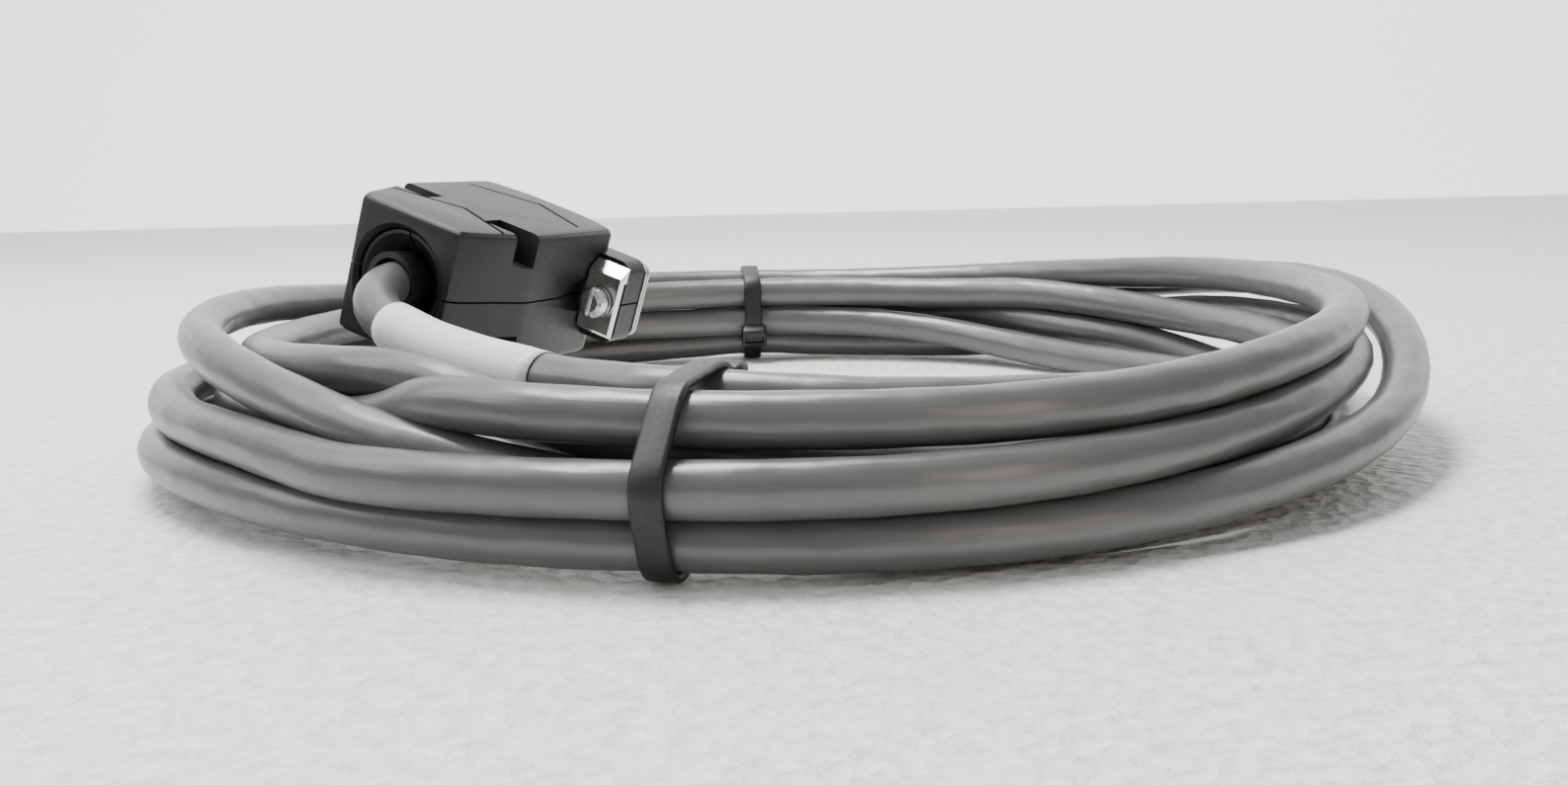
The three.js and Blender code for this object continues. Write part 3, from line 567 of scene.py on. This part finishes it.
def cable_tie(which, twist, head_toward):
    """A strap pulled tight round the strands, and its head with the cut end in the slot."""
    angle = math.radians(TIE_ANGLES[which])
    centre = TIED_RADIUS * np.array([math.cos(angle), math.sin(angle)])
    out_angle = angle + math.radians(twist)
    across = np.array([math.cos(out_angle), math.sin(out_angle)])
    along = np.array([math.sin(out_angle), -math.cos(out_angle)])
    strands = crossings(centre, along, across)
    ring = np.linspace(0, 2 * math.pi, STRAND_POINTS, endpoint=False)
    circle = np.stack([np.cos(ring), np.sin(ring)], 1) * (CABLE_RADIUS + STRAP_GAP)
    inner = even_loop(hull((strands[:, None] + circle[None]).reshape(-1, 2)), STRAP_POINTS)
    for _ in range(STRAP_SMOOTHINGS):
        inner = inner + 0.25 * (np.roll(inner, 1, 0) + np.roll(inner, -1, 0) - 2 * inner)
    tangent = np.roll(inner, -1, 0) - np.roll(inner, 1, 0)
    tangent /= np.linalg.norm(tangent, axis=1)[:, None]
    normal = np.stack([tangent[:, 1], -tangent[:, 0]], 1)

    def spot(flat, x):
        ground = centre + across * flat[0] + along * x
        return in_frame((ground[0], ground[1], max(flat[1], 0.02)))

    half, t, soft = STRAP_WIDTH / 2, STRAP_THICKNESS, STRAP_SOFT_EDGE
    section = [(0, -half + soft), (0, half - soft), (soft, half), (t - soft, half),
               (t - 0.1, half - 0.3 * soft), (t, half - 1.2 * soft), (t, -half + 1.2 * soft),
               (t - 0.1, -half + 0.3 * soft), (t - soft, -half), (soft, -half)]
    verts = [spot(p + n * up, x) for p, n in zip(inner, normal) for up, x in section]
    size = len(section)
    faces = [(i * size + j, i * size + (j + 1) % size, (i + 1) % STRAP_POINTS * size + (j + 1) % size,
              (i + 1) % STRAP_POINTS * size + j) for i in range(STRAP_POINTS) for j in range(size)]
    toward = np.array(head_toward, float)
    i = int(np.argmax(inner @ toward))
    base, up, side = inner[i] + normal[i] * (t * 0.3), normal[i], tangent[i]
    first = len(verts)
    for wide, deep, corner, height in HEAD_OUTLINES:
        for x, y in rounded_outline(wide / 2, deep / 2, corner):
            verts.append(spot(base + side * y + up * height, x))
    n = 4 * OUTLINE_STEPS
    for level in range(len(HEAD_OUTLINES) - 1):
        for j in range(n):
            k = (j + 1) % n
            low, high = first + level * n, first + (level + 1) * n
            faces.append((low + j, low + k, high + k, high + j))
    faces.append(tuple(first + j for j in reversed(range(n))))
    faces.append(tuple(first + (len(HEAD_OUTLINES) - 1) * n + j for j in range(n)))
    made = outward(mesh_object("tie_strap_" + which, verts, faces, NYLON, smooth=True))
    made.data.set_sharp_from_angle(angle=math.radians(62))
    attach(made, "root")
    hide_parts("cable_tie_" + which)


def rounded_outline(half_x, half_y, corner):
    """Corner arcs of a rounded rectangle, anticlockwise."""
    points = []
    for quarter, (sx, sy) in enumerate(((1, 1), (-1, 1), (-1, -1), (1, -1))):
        for step in range(OUTLINE_STEPS):
            a = math.pi / 2 * (quarter + step / (OUTLINE_STEPS - 1))
            points.append((sx * (half_x - corner) + corner * math.cos(a),
                           sy * (half_y - corner) + corner * math.sin(a)))
    return points


cable_tie("front", -9, (-0.95, 0.31))
cable_tie("back", 0, (-0.86, -0.5))


# ---------------------------------------------------------------- connectors
HOOD_EDGE_MM = 0.45


def softened_copy(node_name, width_mm, name):
    """A copy of a CAD piece with small round edges, shown in its place."""
    mesh = NODES[node_name].data.copy()
    bm = bmesh.new()
    bm.from_mesh(mesh)
    bmesh.ops.remove_doubles(bm, verts=bm.verts, dist=1e-6)
    bmesh.ops.dissolve_limit(bm, angle_limit=math.radians(1.5), verts=bm.verts, edges=bm.edges)
    bm.to_mesh(mesh)
    bm.free()
    made = bpy.data.objects.new(name, mesh)
    bpy.context.scene.collection.objects.link(made)
    bevel = made.modifiers.new("round_edges", "BEVEL")
    bevel.width = width_mm / 1000
    bevel.segments = 3
    bevel.limit_method = "ANGLE"
    bevel.angle_limit = math.radians(28)
    bevel.harden_normals = True
    bevel.use_clamp_overlap = True
    mesh.polygons.foreach_set("use_smooth", [True] * len(mesh.polygons))
    mesh.set_sharp_from_angle(angle=math.radians(40))
    mesh.materials.clear()
    mesh.materials.append(HOOD)
    body = next(body for body, names in frame["record"]["behaviour"]["bodies"].items() if node_name in names)
    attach(made, body)
    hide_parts(node_name)
    return made


SOFT_HOODS = [softened_copy(f"{part}_{end}", HOOD_EDGE_MM, f"{part}_{end}_soft")
              for part in ("hood_upper", "hood_lower") for end in "ab"]

# ---------------------------------------------------------------- stage
FLOOR_SIZE = 4.0
WALL_CORNERS = [(-2, 1.2, -0.001), (2, 1.2, -0.001), (2, 1.2, 2.2), (-2, 1.2, 2.2)]
# Name, place, size, power in watts and colour of each light.
LIGHTS = (
    ("top", (-0.16, 0.12, 0.8), (0.5, 0.22), 12.5, (0.97, 0.98, 1.0)),
    ("left", (-0.7, -0.1, 0.7), (0.6, 0.6), 5.0, (0.95, 0.97, 1.0)),
    ("front", (0.5, -0.7, 0.3), (0.14, 0.5), 1.0, (1.0, 0.84, 0.64)),
)


def stage():
    """A pale foam floor and a bright wall behind it."""
    s = Shader("stage_floor")
    bubbles = s.node("ShaderNodeTexVoronoi", {"Vector": s.coords(), "Scale": 430.0, "Randomness": 1.0})
    fine = s.noise(s.coords(), 380.0, 4.0, 0.75)
    patch = s.noise(s.coords(), 70.0, 3.0, 0.6)
    colour = s.between(s.span(fine, 0, 1, 0.36, 0.64), (0.70, 0.70, 0.67), (0.92, 0.92, 0.89))
    raised = s.bump(bubbles.outputs["Distance"], 0.0014, 0.45, s.bump(patch, 0.002, 0.3))
    s.finish(Base_Color=colour, Roughness=s.span(patch, 0.45, 0.65), Normal=s.bump(fine, 0.0014, 0.5, raised))
    bm = bmesh.new()
    bmesh.ops.create_grid(bm, x_segments=1, y_segments=1, size=FLOOR_SIZE / 2)
    mesh = bpy.data.meshes.new("floor")
    bm.to_mesh(mesh)
    bm.free()
    mesh.materials.append(s.material)
    floor = bpy.data.objects.new("floor", mesh)
    bpy.context.scene.collection.objects.link(floor)
    floor.location = (0, 0, -0.0001)
    w = Shader("stage_wall")
    cloud = w.noise(w.coords(), 1.2, 2.0)
    w.finish(Base_Color=w.between(cloud, (0.78, 0.785, 0.775), (0.86, 0.865, 0.855)), Roughness=0.9,
             Emission_Color=(0.95, 0.95, 0.92, 1), Emission_Strength=1.6)
    wall = mesh_object("wall", WALL_CORNERS, [(0, 3, 2, 1)], w.material, smooth=False)


def lights():
    """Area lights that face the origin, and a dim even world."""
    world = bpy.data.worlds.new("world")
    bpy.context.scene.world = world
    world.use_nodes = True
    world.node_tree.nodes["Background"].inputs["Color"].default_value = (0.92, 0.95, 1.0, 1)
    world.node_tree.nodes["Background"].inputs["Strength"].default_value = 0.5
    for name, place, size, power, colour in LIGHTS:
        data = bpy.data.lights.new(name, "AREA")
        data.shape = "RECTANGLE"
        data.energy = power
        data.size, data.size_y = size
        data.color = colour
        light = bpy.data.objects.new(name, data)
        light.location = place
        light.rotation_euler = (-Vector(place)).to_track_quat("-Z", "Y").to_euler()
        bpy.context.scene.collection.objects.link(light)


dress_nodes()
stage()
lights()
